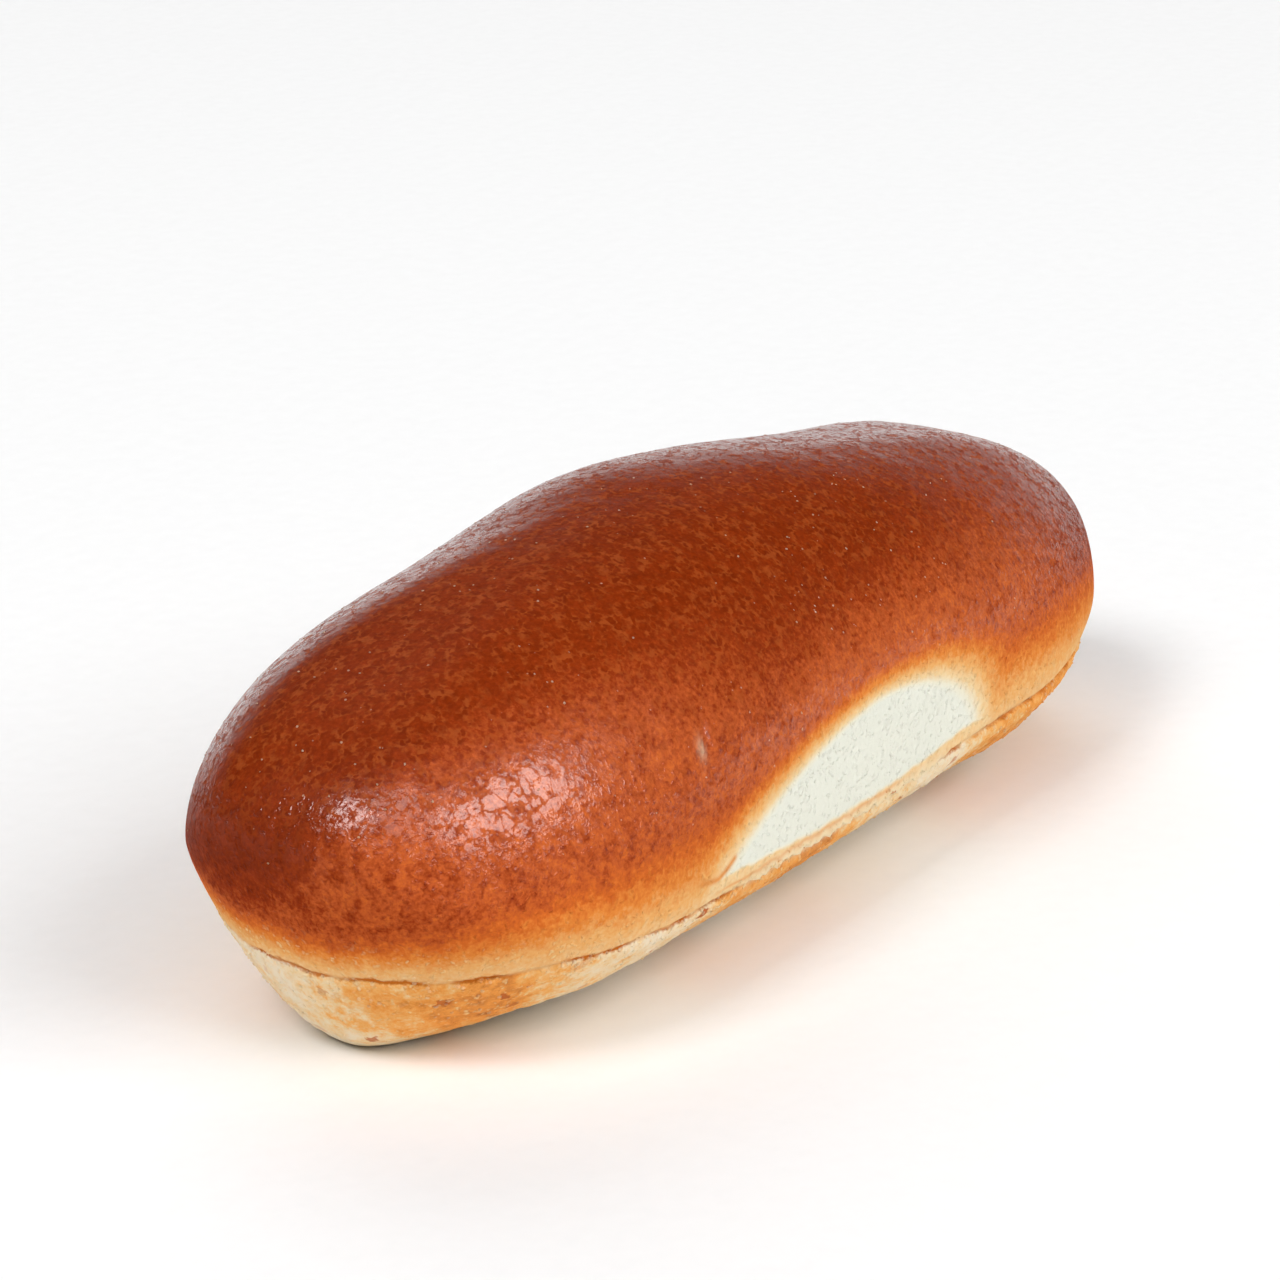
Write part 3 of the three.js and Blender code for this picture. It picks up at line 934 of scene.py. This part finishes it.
# Camera, as fitted to the photo's outline, in the part's own frame before it was centred
CAMERA_AZIMUTH = math.radians(-56.46)
CAMERA_ELEVATION = math.radians(20.0)
CAMERA_DISTANCE = 473.6
CAMERA_AIM = (-8.21, 0.0, 28.86)
SENSOR_WIDTH = 36.0
LENS = 117.2

# Softboxes stand this far away in metres, and face a place this high in millimetres
LIGHT_DISTANCE = 5.0
LIT_HEIGHT = 25.0

# Softboxes that the glaze mirrors: azimuth, elevation, width and height in degrees, radiance
MIRRORED_LIGHTS = {
    "left softbox": (-101, 50, 21, 19, 18.0),
    "right softbox": (6, 36, 32, 28, 8.0),
    "overhead diffuser": (-50, 63, 26, 12, 4.5),
    "front diffuser": (-45, 44, 66, 20, 3.4),
}

# The even light that they and the room give, with no highlights of its own
FILL_LIGHTS = {
    "left fill": (-101, 50, 20, 20, 12.0),
    "right fill": (4, 38, 36, 30, 5.0),
    "top fill": (-50, 57, 50, 30, 2.0),
    "back fill": (140, 40, 40, 30, 2.5),
}

# Walls of the studio by height over the horizon, and the azimuth of the pale one, in degrees
WALLS = (
    (0.00, "#F8F8F8"),
    (0.08, "#DCDCDC"),
    (0.19, "#9C9C9C"),
    (0.31, "#525252"),
    (0.45, "#1E1E1E"),
)
BRIGHT_WALL_AT = 120.0

FLOOR_HALF_SIDE = 3.0


def direction(azimuth, elevation):
    """Unit vector towards a place round the roll; azimuth 0 is in front, at -Y."""
    flat = math.cos(elevation)
    return Vector((math.sin(azimuth) * flat, -math.cos(azimuth) * flat, math.sin(elevation)))


def make_camera(shift):
    """The photo's camera, moved as the form was when it was centred."""
    data = bpy.data.cameras.new("camera")
    data.lens = LENS
    data.sensor_width = SENSOR_WIDTH
    camera = link("camera", data)
    back = direction(CAMERA_AZIMUTH, CAMERA_ELEVATION)
    aim = Vector(CAMERA_AIM) + Vector((shift[0], shift[1], 0))
    camera.location = (aim + back * CAMERA_DISTANCE) * MM
    camera.rotation_euler = (-back).to_track_quat("-Z", "Y").to_euler()
    data.clip_start = 0.01
    bpy.context.scene.camera = camera


def soft_light(name, azimuth, elevation, wide, high, radiance):
    """A softbox that faces the roll; radiance 1 is that of the white floor."""
    data = bpy.data.lights.new(name, "AREA")
    data.shape = "RECTANGLE"
    data.size = 2 * LIGHT_DISTANCE * math.tan(math.radians(wide / 2))
    data.size_y = 2 * LIGHT_DISTANCE * math.tan(math.radians(high / 2))
    data.energy = radiance * math.pi * data.size * data.size_y
    lamp = link(name, data)
    towards = direction(math.radians(azimuth), math.radians(elevation))
    lamp.location = Vector((0, 0, LIT_HEIGHT * MM)) + towards * LIGHT_DISTANCE
    lamp.rotation_euler = (-towards).to_track_quat("-Z", "Y").to_euler()
    return lamp


def studio_world():
    """A dim studio whose far wall pales towards the white table."""
    world = bpy.data.worlds.new("dim studio")
    world.use_nodes = True
    tree = world.node_tree
    tree.nodes.clear()
    way = add(tree, "ShaderNodeTexCoord").outputs["Generated"]
    rise = add(tree, "ShaderNodeSeparateXYZ", {}, {0: way}).outputs[2]
    walls = add(tree, "ShaderNodeValToRGB", {}, {"Fac": rise}, WALLS)
    inputs = {0: way, 1: direction(math.radians(BRIGHT_WALL_AT), 0)}
    facing = add(tree, "ShaderNodeVectorMath", {"operation": "DOT_PRODUCT"}, inputs)
    share = add(tree, "ShaderNodeMapRange", {}, {0: facing, 1: 0.66, 2: 0.93, 3: 0.22, 4: 1.0})
    glow = add(tree, "ShaderNodeBackground", {}, {"Color": walls, "Strength": share})
    add(tree, "ShaderNodeOutputWorld", {}, {"Surface": glow.outputs[0]})
    return world


def make_studio():
    """The floor, the lights and the walls."""
    side = FLOOR_HALF_SIDE
    corners = [(-side, -side, 0), (side, -side, 0), (side, side, 0), (-side, side, 0)]
    mesh = bpy.data.meshes.new("floor")
    mesh.from_pydata(corners, [], [(0, 1, 2, 3)])
    mesh.materials.append(floor_material())
    link("floor", mesh)
    for name, place in MIRRORED_LIGHTS.items():
        soft_light(name, *place).visible_diffuse = False
    for name, place in FILL_LIGHTS.items():
        soft_light(name, *place).visible_glossy = False
    bpy.context.scene.world = studio_world()
    bpy.context.scene.view_settings.view_transform = "Standard"


make_camera(make_roll())
make_studio()
